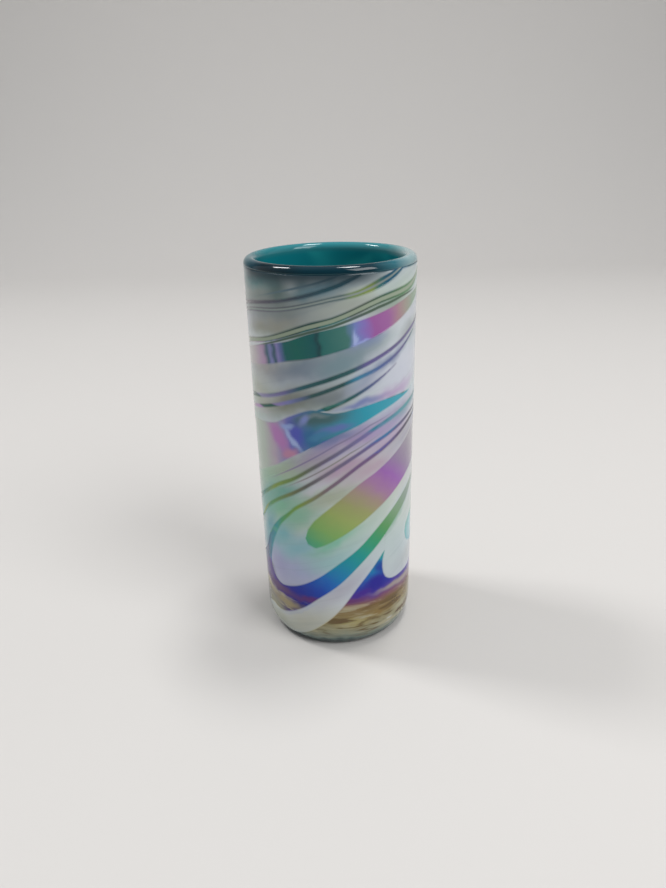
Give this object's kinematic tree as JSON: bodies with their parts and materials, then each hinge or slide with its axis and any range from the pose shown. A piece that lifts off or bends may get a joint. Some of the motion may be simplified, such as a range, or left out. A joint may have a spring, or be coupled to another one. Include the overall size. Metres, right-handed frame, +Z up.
{
  "type": "art glass vase",
  "caption": "Small straight-sided blown glass vase: teal cup in a clear casing with a thick foot and combed opal white trails, under a lustre.",
  "frame": {"origin": "centre of the base, on the surface that the vase stands on", "axes": "+Z up along the vase's axis, towards the lip; -Y is the front of the trail pattern"},
  "size_m": [0.0414, 0.0414, 0.1012],
  "materials": {
    "teal_glass": "transparent teal soda-lime glass, blown and fire-polished at the lip",
    "clear_glass": "clear soda-lime glass, blown, with a metal-oxide lustre fumed on the outside",
    "opal_white_glass": "opal white glass trails, combed and marvered flush, under the lustre"
  },
  "bodies": {
    "root": {"teal_cup": "teal_glass", "clear_casing": "clear_glass", "front_loop": "opal_white_glass", "right_loop": "opal_white_glass", "back_loop": "opal_white_glass", "left_loop": "opal_white_glass", "front_foot_stripe": "opal_white_glass", "back_foot_stripe": "opal_white_glass"}
  },
  "joints": []
}
